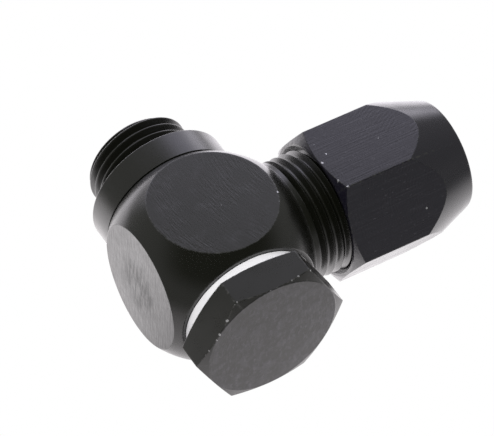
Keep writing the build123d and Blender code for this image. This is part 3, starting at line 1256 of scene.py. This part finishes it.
def anodised(name, marks, chips, black=anodise_black, worn_black=anodise_worn):
    """Black anodising with its marks and chips.

    marks(place) gives the marks' height in microns, their change of roughness, and the share of
    pale haze or None. The edge number chooses where the black is worn thin or chipped off.
    """
    finish, start, place = new_finish(name)
    edge = start.node("Attribute", {"attribute_name": "edge"}, out="Fac")
    height, gloss, haze = marks(place)
    smudges = noise(place, 3.5, detail=3.0)
    grain = noise(place, 0.22, detail=1.0)
    worn = edge * noise(place, 0.7, detail=2.0).rise(0.40, 0.72)
    bare = edge * noise(place, 0.3, detail=1.0).rise(0.79, 0.81)
    if chips:
        bare = bare.maths("MAXIMUM", spots(place, chips))
    ground = haze.blend(black, anodise_haze) if haze else black
    relief = height + grain * 2.0 - bare * 6.0
    sockets = {
        "Base Color": bare.blend(worn.blend(ground, worn_black), aluminium),
        "Metallic": bare,
        "Roughness": 0.30 + (smudges - 0.5) * 0.12 + (grain - 0.5) * 0.10 + gloss + bare * 0.08,
        "IOR": anodise_ior,
        "Normal": start.node("Bump", None, {"Strength": 1.0, "Distance": micron, "Height": relief}),
    }
    start.node("OutputMaterial", None, {"Surface": start.node("BsdfPrincipled", None, sockets)})
    return finish


def dress(piece, finish):
    """Gives a piece its finish."""
    piece.data.materials.append(finish)
    print(piece.name, "wears", finish.name, "with", len(finish.node_tree.nodes), "nodes")


print("a chip of size 1 is about", round(2000 * chip_inner, 2), "mm across")

# %% [markdown]
# ## Marks on the elbow
#
# The ball was turned about the hose axis, which left fine rings that a fingernail would just
# feel. The top and bottom flats were milled afterwards, with passes along the bolt's axis that
# bend a little, because a cutter's edge moves in a circle. Distance from the cutter's centre and
# the place along the bolt, taken as the noise's coordinates, bend the streaks in the same way.
# The left flat was handled most: it is mottled, with upright strokes, and rubbed in its middle.

# %% The elbow's finish
cutter_centre = (0.044, -0.015, 0)
rubbed_centre = (-0.0151, -0.0190, -0.0005)


def elbow_marks(place):
    """Rings on ball and stub, bent passes on the top and bottom flats, mottle on the left flat."""
    along = from_axis(place, "hose")[1]
    top_flats = place.axis(2).maths("ABSOLUTE").rise((top_flat - 0.07) / 1000, (top_flat - 0.03) / 1000)
    left_flat = (place.axis(0) * -1).rise((side_flat - 0.06) / 1000, (side_flat - 0.02) / 1000)
    turned_part = (1 - top_flats) * (1 - left_flat)
    rings = lines(along, 0.23, noise(place, 2.0) * 0.00004)
    swing = place.vector("SUBTRACT", cutter_centre).vector("MULTIPLY", (1, 1, 0))
    bent = place.node("CombineXYZ", None, {"X": swing.vector("LENGTH"), "Y": place.axis(1)})
    patchy = noise(place, 6.0, detail=1.0).rise(0.36, 0.58)
    streaks = noise(bent, 0.36, (1, 0.14, 1), detail=3.0, rough=0.6)
    mottle = noise(place, 1.3, detail=4.0, rough=0.65)
    strokes = noise(place, 0.5, (1, 1, 0.14), detail=3.0)
    rubbed = place.vector("DISTANCE", rubbed_centre).rise(0.0088, 0.002)
    height = (
        turned_part * rings * 1.2
        + top_flats * (streaks - 0.5) * (patchy * 44.0 + 14.0)
        + left_flat * (mottle * 40.0 + strokes * 60.0)
    )
    gloss = (
        top_flats * (0.05 + (streaks - 0.5) * 0.10)
        + left_flat * (0.03 + (mottle - 0.5) * 0.22 + rubbed * (strokes.rise(0.35, 0.65) * 0.16 + 0.03))
        - turned_part * 0.03
    )
    return height, gloss, top_flats * noise(place, 3.0, detail=3.0).rise(0.50, 0.80) * 0.2


elbow_chips = [(11.57, -23.27, 15.25, 0.8), (0.99, -20.95, 15.25, 0.45)]
dress(elbow, anodised("anodised_elbow", elbow_marks, elbow_chips))

# %% [markdown]
# ## Marks on the bolt
#
# The bolt was turned about its own axis, from the threaded end to the head's face, so all its
# marks are rings: along the shank and the thread, and as circles on the face. The face is also
# scuffed and a little pale. The six flats are the bar's drawn surface, with faint lines along the
# bar. The head's edge took most knocks.

# %% The bolt's finish
def bolt_marks(place):
    """Circles and scuffs on the head's face, drawn lines on its flats, rings behind it."""
    radius, along = from_axis(place, "bolt")
    face_at = (elbow_y - head_front) / 1000
    bar_at = head_face_radius / 1000
    face = (along * -1).rise(face_at - 0.00008, face_at - 0.00004)
    bar = (1 - face) * radius.rise(bar_at - 0.00002, bar_at + 0.00002)
    circles = lines(radius, 0.55, noise(place, 2.5) * 0.0004)
    drawn = noise(place, 0.3, (1, 0.05, 1), detail=3.0)
    soft = noise(place, 2.2, detail=4.0, rough=0.6)
    scuffs = noise(place, 0.8, (1, 1, 0.5), detail=5.0, rough=0.75)
    rings = lines(along, 0.20, noise(place, 2.0) * 0.00003)
    height = (
        face * (circles * 3.0 + soft * 50.0 + scuffs * 12.0)
        + bar * drawn * 2.0
        + (1 - face) * (1 - bar) * rings
    )
    gloss = face * (0.05 + (soft - 0.5) * 0.16) + bar * (drawn - 0.5) * 0.04
    return height, gloss, face * (soft.rise(0.42, 0.66) * 0.45 + scuffs.rise(0.50, 0.64) * 0.55)


bolt_chips = [
    (-7.48, -40.65, 13.5, 0.9),
    (-9.76, -41.18, 10.1, 1.3),
    (-11.34, -41.39, 7.36, 1.1),
    (-11.9, -41.40, 6.2, 0.7),
    (5.18, -41.02, 13.5, 0.8),
    (7.95, -40.65, 13.2, 0.8),
    (-0.94, -41.38, 13.5, 0.7),
    (3.74, -41.20, 13.5, 0.7),
    (-13.4, -41.2, 3.84, 0.5),
]
bolt_finish = anodised("anodised_bolt", bolt_marks, bolt_chips, worn_black=anodise_rubbed)
dress(bolt, bolt_finish)

# %% [markdown]
# ## Marks on the nut and the collar
#
# The nut's flats were milled in long passes, some straight and some in arcs where the cutter
# swept over them, with small pale specks. Its cone was turned, and so was the whole collar.
# A point lies on the cone if a line from it, sloping in as the cone does, meets the nut's end at
# the cone's small radius.

# %% The finishes of nut and collar
sweep_centre = (0.047, -0.030, 0.006)


def nut_marks(place):
    """Lengthwise passes and faint arcs on the flats, rings on the cone."""
    radius, along = from_axis(place, "hose")
    cone_end = along + (radius - nut_end_radius / 1000) / nut_cone
    on_cone = cone_end.rise((nut_end - 0.15) / 1000, (nut_end - 0.03) / 1000)
    passes = noise(place, 0.30, (0.03, 1, 1), detail=3.0)
    swing = place.vector("DISTANCE", sweep_centre)
    arcs = lines(swing, 0.62, noise(place, 2.0) * 0.0004)
    arcs = arcs * noise(place, 3.0).rise(0.45, 0.62)
    rings = lines(along, 0.21, noise(place, 2.0) * 0.00003)
    height = (1 - on_cone) * (passes * 26.0 + arcs * 9.0) + on_cone * rings
    gloss = (1 - on_cone) * (0.02 + (passes - 0.5) * 0.20 + arcs * 0.03) - on_cone * 0.03
    specks = noise(place, 0.35, (0.5, 1, 1), detail=2.0).rise(0.66, 0.74)
    return height, gloss, (1 - on_cone) * (passes.rise(0.5, 0.75) * 0.14 + specks * 0.5)


def collar_marks(place):
    """Rings all round the collar."""
    along = from_axis(place, "bolt")[1]
    rings = lines(along, 0.19, noise(place, 2.0) * 0.00003)
    return rings * 1.1, (noise(place, 0.4, (1, 0.2, 1)) - 0.5) * 0.06, None


nut_chips = [
    (24.97, -18.46, 13.5, 0.7),
    (23.21, -20.03, 13.4, 1.1),
    (23.40, -25.14, 13.4, 1.0),
    (24.20, -27.20, 13.4, 1.0),
    (24.13, -15.54, 13.5, 0.5),
    (38.63, -32.53, 4.51, 0.9),
    (28.12, -28.30, 11.84, 0.45),
    (35.45, -19.86, 13.5, 0.4),
]
dress(nut, anodised("anodised_nut", nut_marks, nut_chips, anodise_blue_black))
dress(collar, anodised("anodised_collar", collar_marks, []))

# %% [markdown]
# ## Plastic and rubber
#
# The washer is white nylon: a bright, slightly bluish plastic with a fine skin from its mould.
# The clamp ring is black acetal, smooth and a little waxy. The two seals are nitrile rubber,
# matt, with the dust that always clings to it.

# %% Washer, clamp ring and seals
plastic_ior = 1.5


def moulded(name, colours, roughness, size, depth, mottle):
    """Two close colours in a mottle, and a skin with grains of a size in mm and depth in microns."""
    finish, start, place = new_finish(name)
    skin = noise(place, size, detail=2.0)
    bump = start.node("Bump", None, {"Strength": 1.0, "Distance": micron, "Height": skin * depth})
    sockets = {
        "Base Color": noise(place, mottle, detail=3.0).rise(0.35, 0.65).blend(*colours),
        "Roughness": roughness + (skin - 0.5) * 0.2,
        "IOR": plastic_ior,
        "Normal": bump,
    }
    start.node("OutputMaterial", None, {"Surface": start.node("BsdfPrincipled", None, sockets)})
    return finish


white_colours = [(0.92, 0.91, 0.93, 1), (0.88, 0.87, 0.90, 1)]
acetal_colours = [(0.018, 0.018, 0.019, 1), (0.026, 0.026, 0.027, 1)]
rubber_colours = [(0.014, 0.014, 0.014, 1), (0.024, 0.024, 0.023, 1)]
nylon = moulded("white_nylon", white_colours, 0.42, 0.3, 6.0, 4.0)
acetal = moulded("black_acetal", acetal_colours, 0.38, 0.25, 4.0, 3.0)
rubber = moulded("nitrile_rubber", rubber_colours, 0.68, 0.2, 8.0, 2.0)
dress(washer, nylon)
dress(clamp, acetal)
for rubber_ring in seals:
    dress(rubber_ring, rubber)
